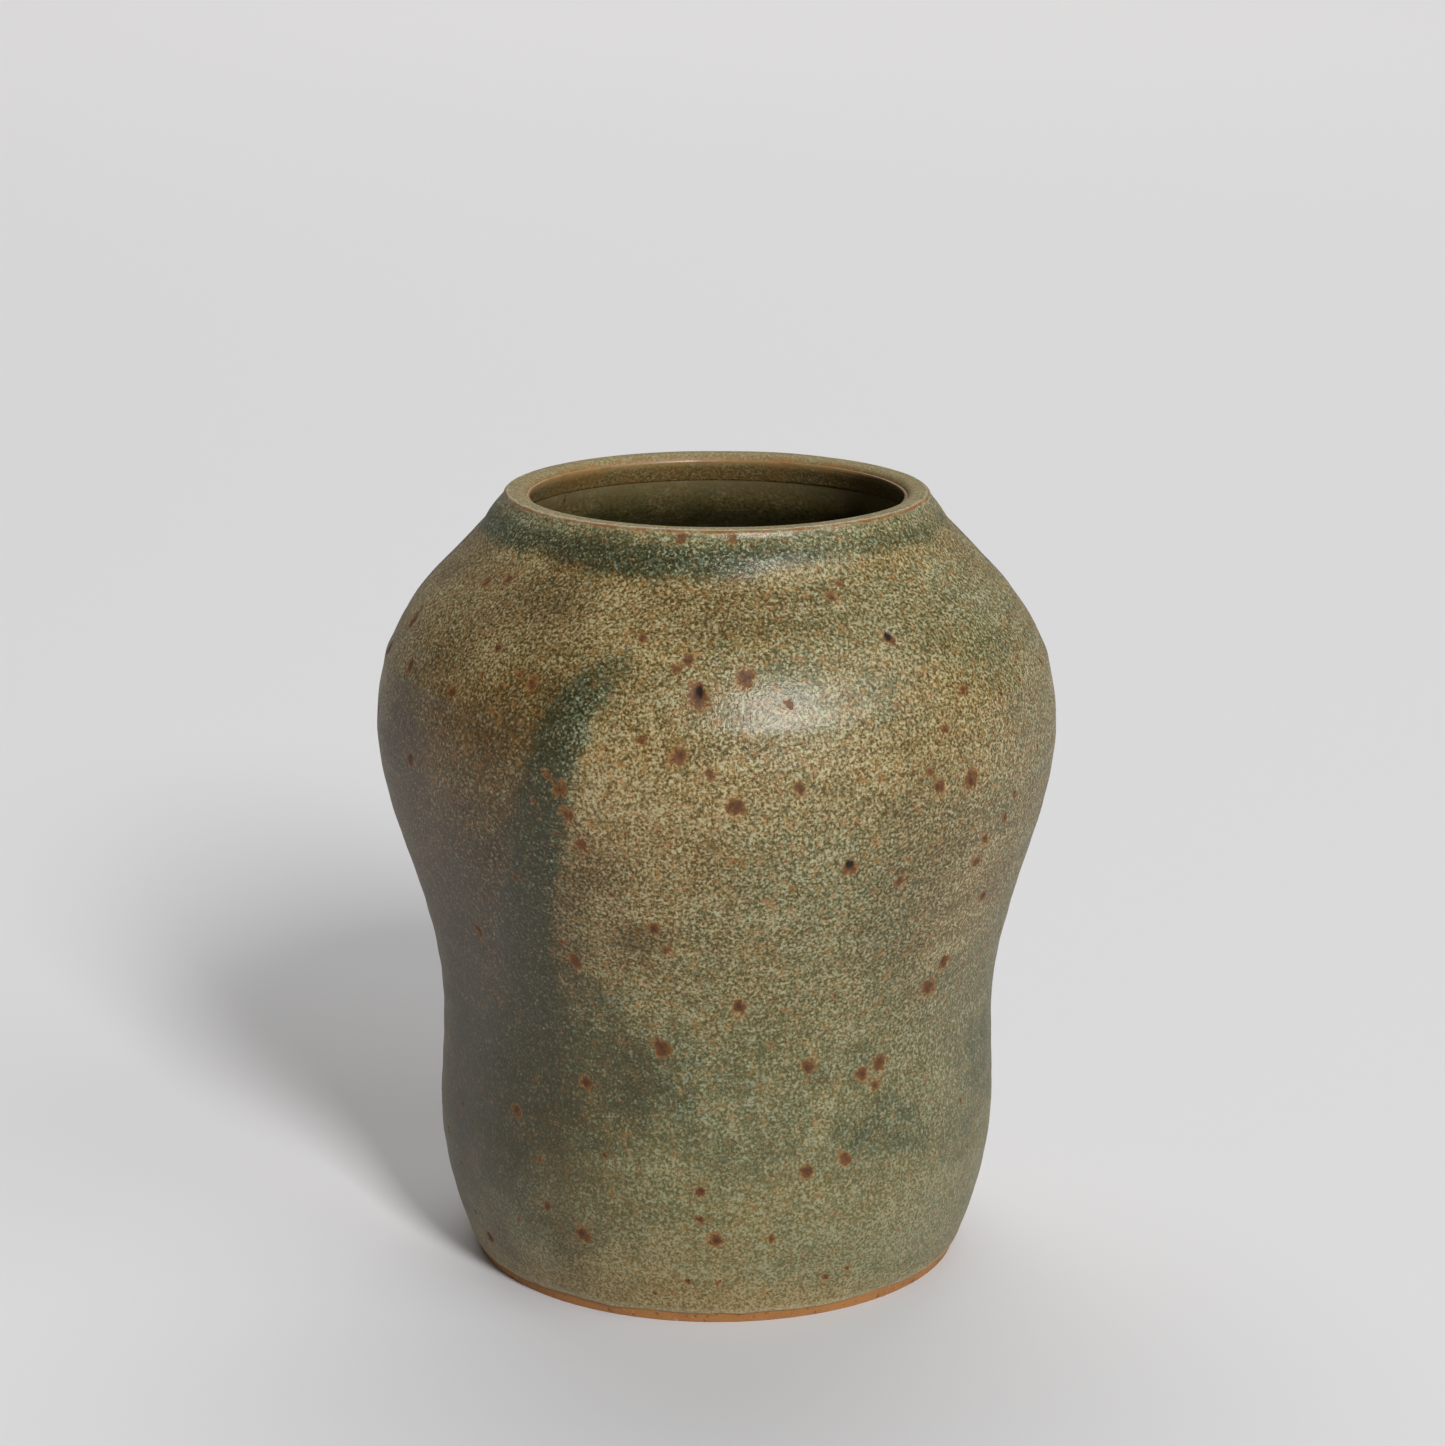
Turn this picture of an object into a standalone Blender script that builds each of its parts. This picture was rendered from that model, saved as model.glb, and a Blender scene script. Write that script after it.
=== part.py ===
"""Ceramic bud vase: a wheel-thrown stoneware body and the glaze coats fused to it.

Units are metres and +Z is up. The origin is the middle of the foot, on the surface that the
vase stands on. Every sub-part is a turned form about Z, so each one is a profile in the XZ
plane with a Screw modifier:

  clay_body     stoneware wall, floor, bare foot band and the shallow recess under the base
  outer_glaze   coat on the outside, from the glaze line over the shoulder and across the lip
  liner_glaze   coat on the inside, from just under the lip down to the floor
"""

import math

import bpy
import numpy as np

COLLECTION_NAME = "ceramic_bud_vase"

# Glazed outside of the vase: (height, radius) where the outline changes its bend
HEIGHT = 0.104
BELLY_RADIUS = 0.0449
RIM_RADIUS = 0.0276
FOOT_RADIUS = 0.0327
OUTLINE = (
    (0.000, FOOT_RADIUS),
    (0.005, 0.0346),  # heel
    (0.020, 0.0374),  # lower bulge
    (0.034, 0.0369),  # waist
    (0.052, 0.04025),  # flank
    (0.070, BELLY_RADIUS),
    (0.080, 0.04425),  # upper belly
    (0.090, 0.0393),  # shoulder
    (0.098, 0.0318),  # neck
    (HEIGHT, RIM_RADIUS),
)

# Thicknesses, measured square to the surface
LIP_WIDTH = 0.003
WALL = 0.004
WALL_THINS_OVER = 0.012  # height below the lip in which the wall goes from WALL to LIP_WIDTH
OUTER_COAT = 0.0006
LINER_COAT = 0.0005
GAP = 0.0003  # clearance between the clay and the coats that lie on it

# Foot and floor
BARE_BAND = 0.0013  # height of clay left bare above the table
BAND_SETBACK = 0.0002  # how far the bare clay stands behind the glaze above it
FLOOR = 0.0065  # height of the glazed floor inside
FLOOR_CORNER = 0.007  # radius between the floor and the wall inside
RECESS_RADIUS = 0.0235
RECESS_DEPTH = 0.0012
RECESS_SLOPE = 0.0015  # width of the slanted edge of the recess
FOOT_CHAMFER = 0.0004  # worn edge of the bare clay at the table

LIP_ROUND = 0.0008  # radius on the outer edge of the lip

TURNS = 48  # facets around the axis
WALL_STEPS = 20  # facets up the wall
BEND_WEIGHT = 0.04  # crowds the facets where the outline bends
CORNER_STEPS = 5
LIP_STEPS = 3
SHORTEST_STEP = 0.0012  # an outline point nearer than this to an end is left out
MERGE_DISTANCE = 0.00005

CLAY_COLOUR = (0.42, 0.19, 0.075)
GLAZE_COLOUR = (0.20, 0.165, 0.085)
LINER_COLOUR = (0.17, 0.14, 0.07)


def natural_spline(stations):
    """Return a function of height: the smooth radius through the stations."""
    height, radius = np.array(stations).T
    span = np.diff(height)
    slope = np.diff(radius) / span
    count = len(height)
    system = np.eye(count)
    bend_change = np.zeros(count)
    for i in range(1, count - 1):
        system[i, i - 1] = span[i - 1]
        system[i, i] = 2 * (span[i - 1] + span[i])
        system[i, i + 1] = span[i]
        bend_change[i] = 6 * (slope[i] - slope[i - 1])
    bend = np.linalg.solve(system, bend_change)

    def radius_at(z):
        i = int(np.clip(np.searchsorted(height, z) - 1, 0, count - 2))
        above = height[i + 1] - z
        below = z - height[i]
        curved = (bend[i] * above**3 + bend[i + 1] * below**3) / (6 * span[i])
        from_low = (radius[i] / span[i] - bend[i] * span[i] / 6) * above
        from_high = (radius[i + 1] / span[i] - bend[i + 1] * span[i] / 6) * below
        return float(curved + from_low + from_high)

    return radius_at


outline_radius = natural_spline(OUTLINE)


def slope_at(z):
    """How fast the outline's radius changes with height."""
    step = 1e-5
    return (outline_radius(z + step) - outline_radius(z - step)) / (2 * step)


def wall_heights():
    """Heights of the facets' edges, closer together where the outline bends more."""
    fine = np.linspace(0.0, HEIGHT, 400)
    slopes = np.array([slope_at(z) for z in fine])
    crowding = 1.0 + BEND_WEIGHT * np.abs(np.gradient(slopes, fine))
    travelled = np.concatenate([[0.0], np.cumsum(0.5 * (crowding[1:] + crowding[:-1]))])
    even = np.linspace(0.0, travelled[-1], WALL_STEPS + 1)
    return np.interp(even, travelled, fine)


HEIGHTS = wall_heights()


def inset_point(z, depth):
    """Point of the wall that lies depth under the glazed outside at height z."""
    slope = slope_at(z)
    length = math.hypot(1.0, slope)
    return outline_radius(z) - depth / length, z + depth * slope / length


def wall_depth(z):
    """Full wall thickness under height z, thinner towards the lip."""
    rise = np.clip((z - (HEIGHT - WALL_THINS_OVER)) / WALL_THINS_OVER, 0, 1)
    return float(WALL + (LIP_WIDTH - WALL) * rise)


def outside_curve(depth, low, high):
    """Upward line of points at depth under the outside, ended level at both heights."""
    line = [inset_point(z, depth) for z in HEIGHTS]
    radii, heights = np.array(line).T
    middle = [(r, z) for r, z in line if low + SHORTEST_STEP < z < high - SHORTEST_STEP]
    bottom = (float(np.interp(low, heights, radii)), low)
    top = (float(np.interp(high, heights, radii)), high)
    return [bottom] + middle + [top]


def inside_curve(back_off, low, high):
    """Upward line of points inside the wall, back_off behind the glazed inside."""
    line = [inset_point(z, wall_depth(z) - back_off) for z in HEIGHTS]
    lip_radius = RIM_RADIUS - LIP_WIDTH + back_off
    middle = [(r, z) for r, z in line if low + SHORTEST_STEP < z < high - SHORTEST_STEP]
    return middle + [(lip_radius, high)]


def arc(centre, radius, start, end, steps):
    """Points on an arc in the XZ plane, angles in degrees from +X."""
    points = []
    for turn in np.radians(np.linspace(start, end, steps + 1)):
        points.append((centre[0] + radius * math.cos(turn), centre[1] + radius * math.sin(turn)))
    return points


def floor_and_wall(back_off, top):
    """Inside line from the axis across the floor, round the corner and up to top."""
    floor = FLOOR - back_off
    corner = FLOOR_CORNER + back_off
    foot_of_wall = floor + corner
    wall_radius = inset_point(foot_of_wall, WALL - back_off)[0]
    round_corner = arc((wall_radius - corner, foot_of_wall), corner, -90, 0, CORNER_STEPS)
    wall = inside_curve(back_off, foot_of_wall, top)
    return [(0.0, floor), (0.5 * (wall_radius - corner), floor)] + round_corner + wall


def turned_object(name, outline, closed, colour, roughness):
    """Turn an XZ outline about Z; an open outline starts and ends on the axis."""
    edges = [(i, i + 1) for i in range(len(outline) - 1)]
    if closed:
        edges.append((len(outline) - 1, 0))
    mesh = bpy.data.meshes.new(name)
    mesh.from_pydata([(r, 0.0, z) for r, z in outline], edges, [])
    piece = bpy.data.objects.new(name, mesh)
    bpy.data.collections[COLLECTION_NAME].objects.link(piece)
    screw = piece.modifiers.new("turn", "SCREW")
    screw.axis = "Z"
    screw.steps = TURNS
    screw.render_steps = TURNS
    screw.use_merge_vertices = True
    screw.merge_threshold = MERGE_DISTANCE
    screw.use_smooth_shade = True
    material = bpy.data.materials.new(name)
    material.use_nodes = True
    shader = material.node_tree.nodes["Principled BSDF"]
    shader.inputs["Base Color"].default_value = (*colour, 1.0)
    shader.inputs["Roughness"].default_value = roughness
    shader.inputs["Metallic"].default_value = 0.0
    mesh.materials.append(material)
    return piece


def make_clay_body():
    """Stoneware wall with its floor, lip, bare foot band and base recess."""
    under_coat = OUTER_COAT + GAP
    top = HEIGHT - under_coat
    inside = floor_and_wall(LINER_COAT + GAP, top)
    outside = outside_curve(under_coat, BARE_BAND - GAP, top)
    outside.reverse()
    band_radius = outline_radius(BARE_BAND) - BAND_SETBACK
    foot = [
        (band_radius, BARE_BAND - GAP),
        (FOOT_RADIUS - BAND_SETBACK, FOOT_CHAMFER),
        (FOOT_RADIUS - BAND_SETBACK - FOOT_CHAMFER, 0.0),
        (RECESS_RADIUS, 0.0),
        (RECESS_RADIUS - RECESS_SLOPE, RECESS_DEPTH),
        (0.0, RECESS_DEPTH),
    ]
    return turned_object("clay_body", inside + outside + foot, False, CLAY_COLOUR, 0.85)


def make_outer_glaze():
    """Coat from the glaze line up the outside and over the lip to the mouth."""
    outer = outside_curve(0.0, BARE_BAND, HEIGHT - LIP_ROUND)
    outer.reverse()
    inner = outside_curve(OUTER_COAT, BARE_BAND, HEIGHT - OUTER_COAT)
    mouth_radius = RIM_RADIUS - LIP_WIDTH
    inner_round = arc((mouth_radius + OUTER_COAT, HEIGHT - OUTER_COAT), OUTER_COAT, 180, 90, LIP_STEPS)
    lip_centre = (outer[0][0] - LIP_ROUND, HEIGHT - LIP_ROUND)
    outer_round = arc(lip_centre, LIP_ROUND, 90, 0, LIP_STEPS)
    outline = inner + inner_round + outer_round + outer[1:]
    return turned_object("outer_glaze", outline, True, GLAZE_COLOUR, 0.45)


def make_liner_glaze():
    """Coat on the floor and wall inside, up to the glaze that crosses the lip."""
    top = HEIGHT - OUTER_COAT - GAP
    inner = floor_and_wall(0.0, top)
    outer = floor_and_wall(LINER_COAT, top)
    outer.reverse()
    return turned_object("liner_glaze", inner + outer, False, LINER_COLOUR, 0.4)


def remove_everything():
    """Empty the file of objects and of this part's own collection."""
    for thing in list(bpy.data.objects):
        bpy.data.objects.remove(thing, do_unlink=True)
    for group in list(bpy.data.collections):
        bpy.data.collections.remove(group)


def main():
    remove_everything()
    collection = bpy.data.collections.new(COLLECTION_NAME)
    bpy.context.scene.collection.children.link(collection)
    make_clay_body()
    make_outer_glaze()
    make_liner_glaze()


main()
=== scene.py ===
"""Ceramic bud vase: the fine surface and the glazes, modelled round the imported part.

The vase is one thrown and fired pot: a stoneware body, a glaze coat outside that runs over the
lip, and a liner glaze inside. Each is turned on the wheel as a Blender user would, by drawing
its outline from one vertex and spinning it, and then gets what the throwing and the kiln did:
throwing rings, thick runs of glaze, a rolled edge above the foot and pits over iron spots.

Lengths are in metres and +Z is up. Places on the wall are given as a maker would point at
them: a bearing in degrees round the pot, 0 at the front and growing to the right, and a height
or size in millimetres.
"""

import math
import random

import bpy
import numpy as np
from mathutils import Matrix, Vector, noise


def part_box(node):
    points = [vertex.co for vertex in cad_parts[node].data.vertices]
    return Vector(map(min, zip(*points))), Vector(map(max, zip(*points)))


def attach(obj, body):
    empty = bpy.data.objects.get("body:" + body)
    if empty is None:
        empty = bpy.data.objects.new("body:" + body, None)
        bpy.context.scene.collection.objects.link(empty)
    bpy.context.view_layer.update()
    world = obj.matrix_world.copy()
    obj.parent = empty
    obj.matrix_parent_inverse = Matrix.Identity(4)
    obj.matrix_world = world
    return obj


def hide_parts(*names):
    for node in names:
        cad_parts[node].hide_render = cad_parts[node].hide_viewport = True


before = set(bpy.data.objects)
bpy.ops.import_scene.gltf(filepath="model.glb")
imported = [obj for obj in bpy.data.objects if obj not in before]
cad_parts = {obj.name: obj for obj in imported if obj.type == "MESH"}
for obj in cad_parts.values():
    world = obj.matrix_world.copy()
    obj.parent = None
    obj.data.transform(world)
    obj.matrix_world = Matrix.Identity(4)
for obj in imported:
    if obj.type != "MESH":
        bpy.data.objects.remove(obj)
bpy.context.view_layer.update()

bl_info = {
    "name": "Speckled Bud Vase",
    "version": (1, 0, 0),
    "blender": (4, 5, 0),
    "location": "3D View > Sidebar > Bud Vase",
    "description": "Models and glazes a wheel-thrown stoneware bud vase",
    "category": "Add Mesh",
}

MM = 0.001

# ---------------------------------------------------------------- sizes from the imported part

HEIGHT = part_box("outer_glaze")[1][2]
GLAZE_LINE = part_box("outer_glaze")[0][2]
HEIGHT_MM = HEIGHT / MM

# Glazed outside, (height, radius) in millimetres where the outline changes its bend
OUTLINE = (
    (0.0, 32.7),  # foot
    (5.0, 34.6),  # heel
    (20.0, 37.4),  # lower bulge
    (34.0, 36.9),  # waist
    (52.0, 40.25),  # flank
    (70.0, 44.9),  # belly
    (80.0, 44.25),  # upper belly
    (90.0, 39.3),  # shoulder
    (98.0, 31.8),  # neck
    (HEIGHT_MM, 27.6),  # rim
)
RIM_RADIUS = OUTLINE[-1][1]

# Wall and mouth
WALL_THINS_OVER = 12.0 * MM  # height below the lip in which the wall thins to the lip's width
MOUTH_ROUND = 1.2 * MM  # radius where the outer coat turns into the mouth
HEM_REACH = 4.0 * MM  # how far below the lip the outer coat ends inside
HEM_SINKS = 2.9 * MM  # below the lip, where the hem passes under the liner's face
HEM_FEATHER = 0.07 * MM  # how far the hem stands out above that place, and lies under below it
COAT_BACK = 1.4 * MM  # below the lip, where the coat's hidden back starts
LINER_TOP = 0.9 * MM  # below the lip, where the liner ends inside the outer coat

# Foot and base
CLAY_GAP = 0.05 * MM  # clearance between the clay and the coats
BAND_SETBACK = 0.06 * MM  # how far the bare clay stands behind the glaze above it
BAND_OVERLAP = 0.4 * MM  # how far the bare band carries on up behind the coat
WORN_EDGE = 0.20 * MM  # radius of the clay's edge at the table
RECESS_RADIUS = 23.5 * MM
RECESS_SLOPE = 1.5 * MM  # width of the slanted edge of the recess
RECESS_DEPTH = 1.2 * MM

# Steps round the pot
CLAY_TURNS = 256
GLAZE_TURNS = 384
LINER_TURNS = 256

# What is too small to be set by hand
EDGE_ROLL = 0.07 * MM  # swelling of the glaze where it stops above the foot
EDGE_LIFT = 0.50 * MM  # how far that edge draws up in places
IRON_SINK = 0.06 * MM  # hollow over an iron spot
LIP_DIP = 0.16 * MM  # unevenness of the lip
LINER_RINGS = 0.12 * MM  # throwing rings inside
BASE_GROOVES = 0.10 * MM  # turning grooves in the recess
PUSH_LEVELS = 250  # steps in which a weight is stored

OUTSIDE_WITHIN = 0.35  # millimetres under the outline that still count as the outside
LINER_FROM = 3.2  # millimetres under the outline from which the liner shows
LIP_FROM = 2.2  # millimetres inwards from the outline at which the mouth's edge starts

# ---------------------------------------------------------------- what the kiln and potter left

# Runs of thick green glaze: (bearing, height, width, strength) down the middle of each run
GLAZE_RUNS = (
    (
        (-14, 91, 5, 0.15),
        (-18, 88.5, 6, 0.5),
        (-22, 86, 6.5, 0.9),
        (-25.5, 82, 6.5, 1.0),
        (-27.5, 75, 7.5, 1.0),
        (-29.5, 68, 8, 1.0),
        (-33, 60, 8, 0.95),
        (-37, 52, 9, 0.9),
        (-38, 44, 10, 0.8),
    ),
    ((102, 97, 6, 0.9), (105, 90, 7, 1.0), (107, 83, 5, 0.9), (108, 74, 6, 0.5), (106, 62, 7, 0.2)),
    ((142, 97, 7, 0.9), (138, 89, 8, 1.0), (136, 80, 6, 1.0), (135, 68, 6, 0.7), (131, 55, 8, 0.4)),
    ((196, 97, 8, 0.8), (200, 90, 7, 0.9), (204, 82, 5, 0.4)),
    ((262, 97, 7, 0.8), (258, 89, 8, 1.0), (255, 78, 6, 0.9), (251, 66, 6, 0.6), (248, 50, 9, 0.4)),
)

# Pools where green glaze settled: (bearing, height, half width, half height, strength)
GLAZE_POOLS = (
    (-44, 34, 38, 16, 0.66),
    (-15, 34, 24, 9, 0.62),
    (6, 28, 34, 8, 0.46),
    (-5, 38, 11, 8, 0.50),
    (25, 35, 13, 6, 0.42),
    (37, 26, 26, 7, 0.62),
    (60, 22, 22, 7, 0.45),
    (-50, 22, 30, 12, 0.60),
    (-22, 44, 12, 7, 0.45),
    (76, 30, 26, 10, 0.55),
    (106, 25, 26, 9, 0.6),
    (140, 36, 26, 11, 0.6),
    (170, 28, 28, 8, 0.55),
    (205, 34, 26, 12, 0.6),
    (240, 27, 28, 10, 0.6),
    (268, 36, 26, 11, 0.6),
)

# Patches where the glaze turned sage (above zero) or toasted brown (below zero)
GLAZE_TINTS = (
    (45, 93, 60, 13, 0.60),
    (10, 84, 28, 7, 0.45),
    (75, 66, 28, 42, 0.50),
    (-48, 76, 22, 15, -0.60),
    (-14, 70, 16, 14, -0.30),
    (-55, 94, 26, 8, -0.25),
    (-62, 62, 16, 14, -0.3),
    (-64, 32, 26, 30, -0.45),
    (12, 58, 36, 16, 0.40),
    (28, 64, 34, 22, 0.35),
    (48, 5, 30, 8, 0.6),
    (-15, 9, 22, 7, -0.5),
    (110, 70, 18, 14, -0.6),
    (160, 88, 26, 12, 0.5),
    (185, 66, 22, 14, -0.8),
    (230, 84, 24, 14, -0.7),
    (275, 72, 20, 20, 0.4),
)

# Patches of darker glaze: dark grains crowding it in places, and painted shade over the pot's left
# side and left shoulder, away from the lights
DARK_GRAIN_AND_PAINTED_SHADE_PATCHES = (
    (-53, 50, 40, 42, 1.0),
    (-56, 72, 14, 18, 0.90),
    (-37, 56, 17, 32, 0.85),
    (-5, 95, 40, 6, 0.22),
    (-28, 77, 8, 14, 0.75),
    (-32, 100, 26, 4, 0.55),
    (38, 56, 18, 22, 0.32),
    (-36, 88, 26, 14, 0.30),
    (-40, 94, 25, 8, 0.48),
    (60, 52, 28, 36, 0.15),
    (-52, 26, 42, 26, 1.0),
    (150, 60, 26, 24, 0.4),
    (235, 44, 24, 26, 0.6),
)

# Ridges left by the potter's fingers: (height, half width, prominence)
THROWING_RIDGES = (
    (95.5, 1.6, 0.3),
    (82.4, 1.2, 1.0),
    (72.0, 2.0, 0.25),
    (61.5, 1.8, 0.25),
    (47.6, 1.3, 0.5),
    (31.0, 2.2, 0.25),
    (17.0, 2.0, 0.2),
)

# Iron spots that one notices: (bearing, height, width, has a pit)
IRON_SPOTS = (
    (-3, 86, 4.2, True),
    (5, 88, 3.0, False),
    (-7, 89, 1.7, False),
    (-5, 90, 1.9, False),
    (-14, 92, 1.6, False),
    (34, 91, 2.2, True),
    (25, 96, 1.7, False),
    (12, 85, 1.7, False),
    (46, 84, 1.6, False),
    (40, 80, 1.6, False),
    (-12, 81, 1.9, False),
    (-6, 79, 2.8, False),
    (-1, 77, 1.8, False),
    (3, 73, 2.8, False),
    (13, 75, 1.9, False),
    (-36, 87, 1.6, False),
    (-33, 86, 2.2, False),
    (-43, 89, 1.5, False),
    (-50, 83, 2.0, False),
    (-66, 84, 2.2, False),
    (-60, 73, 2.4, False),
    (-25, 74, 2.2, False),
    (-24, 71, 2.0, False),
    (-22, 67, 1.8, False),
    (-11, 56, 2.2, False),
    (-9, 53, 1.6, False),
    (-27, 50, 2.1, False),
    (-50, 51, 2.0, False),
    (4, 45, 2.2, False),
    (22, 64, 2.4, True),
    (32, 61, 2.2, False),
    (38, 73, 2.3, False),
    (36, 75, 1.5, False),
    (45, 73, 2.9, False),
    (51, 64, 1.9, False),
    (50, 61, 1.9, False),
    (56, 55, 2.0, False),
    (56, 66, 1.8, False),
    (48, 47, 2.5, False),
    (45, 44, 2.9, False),
    (-11, 39, 3.2, False),
    (-27, 33, 2.0, False),
    (-44, 27, 2.0, False),
    (18, 36, 2.2, False),
    (30, 34, 2.4, False),
    (34, 35, 2.4, False),
    (33, 32, 1.8, False),
    (26, 23, 2.2, False),
    (18, 22, 2.0, False),
    (-3, 20, 1.7, False),
    (-3, 16, 1.7, False),
    (0, 13, 2.3, False),
    (11, 13, 1.6, False),
    (-28, 12, 2.6, False),
    (-36, 15, 1.8, False),
    (-59, 6, 2.2, False),
    (24, 6, 1.4, False),
    (-58, 95, 1.9, False),
    (-52, 96, 1.9, False),
    (-9, 103, 1.8, False),
    (4, 103, 1.6, False),
)
FRONT = 70  # bearings within this of the front hold the spots above
BACK_SPOTS = 84
SPECKS = 170
PIT_BLACK = (0.006, 0.004, 0.003)

# ---------------------------------------------------------------- stage

FLOOR_RADIUS = 5.0
POT_MIDDLE = Vector((0.0, 0.0, HEIGHT * 0.55))
BEHIND_POT = Vector((0.0, 1.9, 0.0))

# (name, aimed at, bearing, elevation, distance, size, power, colour)
LIGHTS = (
    ("window", POT_MIDDLE, 23, 32, 5.0, (0.85, 1.7), "window_power", (1.0, 0.993, 0.983)),
    ("side_window", POT_MIDDLE, 60, 34, 5.0, (2.7, 3.3), "side_power", (0.965, 0.985, 1.0)),
    ("top_light", BEHIND_POT, 180, 70, 3.0, (4.0, 4.0), "top_power", (1.0, 0.985, 0.955)),
)

# The camera stands a trace off level and off straight ahead
CAMERA_ROLL = math.radians(-0.14)
CAMERA_TURN = math.radians(-0.056)

# ---------------------------------------------------------------- curves


def natural_spline(stations):
    """Return a function of height: the smooth radius through the stations."""
    height, radius = np.array(stations).T
    span = np.diff(height)
    slope = np.diff(radius) / span
    count = len(height)
    system = np.eye(count)
    bend_change = np.zeros(count)
    for i in range(1, count - 1):
        system[i, i - 1 : i + 2] = span[i - 1], 2 * (span[i - 1] + span[i]), span[i]
        bend_change[i] = 6 * (slope[i] - slope[i - 1])
    bend = np.linalg.solve(system, bend_change)

    def radius_at(z):
        z = np.asarray(z, float)
        i = np.clip(np.searchsorted(height, z) - 1, 0, count - 2)
        above = height[i + 1] - z
        below = z - height[i]
        curved = (bend[i] * above**3 + bend[i + 1] * below**3) / (6 * span[i])
        from_low = (radius[i] / span[i] - bend[i] * span[i] / 6) * above
        from_high = (radius[i + 1] / span[i] - bend[i + 1] * span[i] / 6) * below
        return curved + from_low + from_high

    return radius_at


outside_mm = natural_spline(OUTLINE)


def smooth(value, low, high):
    """0 below low, 1 above high and an eased step between them; low may be the higher."""
    t = np.clip((np.asarray(value, float) - low) / (high - low), 0, 1)
    return t * t * (3 - 2 * t)


# ---------------------------------------------------------------- properties


def measure(name, description, millimetres):
    """A length property, given in millimetres."""
    return bpy.props.FloatProperty(
        name=name, description=description, default=millimetres * MM, unit="LENGTH"
    )


def power(name, description, watts):
    """A light's power property."""
    return bpy.props.FloatProperty(
        name=name, description=description, default=watts, subtype="POWER"
    )


def colour(name, description, red, green, blue):
    """A colour property, given in linear values."""
    default = (red, green, blue)
    return bpy.props.FloatVectorProperty(
        name=name, description=description, subtype="COLOR", size=3, min=0, max=1, default=default
    )


class VaseForm(bpy.types.PropertyGroup):
    """Sizes of the thrown and glazed wall."""

    lip_width: measure("Lip width", "Across the flat of the lip", 3.0)
    wall: measure("Wall", "Thickness of the glazed wall", 4.0)
    outer_coat: measure("Outer coat", "Thickness of the outer glaze", 0.6)
    liner_coat: measure("Liner coat", "Thickness of the liner glaze", 0.5)
    floor: measure("Floor", "Height of the floor inside", 6.5)
    floor_corner: measure("Floor corner", "Radius where floor meets wall", 7.0)
    lip_round: measure("Lip edge", "Radius of the lip's outer edge", 0.8)
    ring_depth: measure("Throwing rings", "Height of the throwing rings", 0.10)
    ridge_height: measure("Ridges", "Height of the throwing ridges", 0.15)
    run_depth: measure("Glaze runs", "How far thick glaze stands out", 0.28)
    pit_depth: measure("Pits", "Depth of the pits over iron", 0.35)
    lean: measure("Lean", "How far the waist stands off centre", 0.30)


class GlazeColours(bpy.types.PropertyGroup):
    """Colours of the fired clay and glazes."""

    cream: colour("Cream", "Light crystals of the tan glaze", 0.420, 0.370, 0.215)
    tan: colour("Tan", "Body of the tan glaze", 0.195, 0.139, 0.046)
    umber: colour("Umber", "Dark grains of the tan glaze", 0.062, 0.034, 0.008)
    celadon: colour("Celadon", "Light crystals of the sage glaze", 0.335, 0.336, 0.220)
    olive: colour("Olive", "Body of the sage glaze", 0.135, 0.125, 0.050)
    moss: colour("Moss", "Dark grains of the sage glaze", 0.048, 0.040, 0.011)
    slate: colour("Slate", "Light crystals where the glaze is thick", 0.290, 0.310, 0.205)
    green: colour("Green", "Body of the thick glaze", 0.054, 0.060, 0.024)
    deep_green: colour("Deep green", "Dark grains of the thick glaze", 0.018, 0.019, 0.006)
    blue: colour("Blue", "Blue-grey grains of the thick glaze", 0.13, 0.165, 0.125)
    toast: colour("Toast", "Where iron warms the glaze", 0.29, 0.125, 0.028)
    # Shade is also the colour of the painted shade over the pot's left side, away from the lights
    shade: colour("Shade", "Darkest glaze, where the grains crowd", 0.028, 0.017, 0.004)
    rust: colour("Rust", "Iron that breaks through the glaze", 0.092, 0.030, 0.003)
    iron: colour("Iron", "Middle of an iron spot", 0.022, 0.007, 0.002)
    lip: colour("Lip", "Glaze on the flat of the lip", 0.185, 0.150, 0.066)
    rust_line: colour("Rust line", "Where the glaze breaks over an edge", 0.20, 0.080, 0.020)
    clay: colour("Clay", "Bare toasted clay", 0.335, 0.145, 0.040)
    pale_clay: colour("Pale clay", "Clay under the base", 0.50, 0.30, 0.15)


class StageSettings(bpy.types.PropertyGroup):
    """Floor, light and camera."""

    floor: colour("Floor", "Seamless paper", 0.622, 0.620, 0.637)
    sky: colour("Surround", "Light from all round", 1.0, 0.985, 0.96)
    sky_strength: bpy.props.FloatProperty(
        name="Surround strength", description="Light from all round", default=0.14
    )
    window_power: power("Window power", "Soft light at front right", 243.0)
    side_power: power("Side window power", "Larger soft light at the right", 50.0)
    top_power: power("Top light power", "Soft light over the floor behind", 110.0)
    camera_distance: measure("Camera distance", "From the pot's axis, level", 498.7)
    camera_height: measure("Camera height", "Above the table", 199.3)
    camera_tilt: bpy.props.FloatProperty(
        name="Camera tilt",
        description="Looking down by",
        default=math.radians(14.316),
        unit="ROTATION",
    )
    lens: bpy.props.FloatProperty(name="Lens", description="Focal length in mm", default=96.0)


# ---------------------------------------------------------------- outlines of the three pieces


def slope_at(z):
    """How fast the outside's radius changes with height."""
    step = 0.01
    return (outside_mm(z + step) - outside_mm(z - step)) / (2 * step)


def fine_heights(count):
    """Heights in millimetres from just under the foot to just over the lip."""
    return np.linspace(-1.0, HEIGHT_MM + 1.0, count)


def inset(z, depth):
    """(radius, height) in metres, depth metres under the outside at z millimetres."""
    slope = slope_at(z)
    length = np.hypot(1.0, slope)
    radius = outside_mm(z) * MM - depth / length
    return np.stack([radius, z * MM + depth * slope / length], -1)


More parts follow.
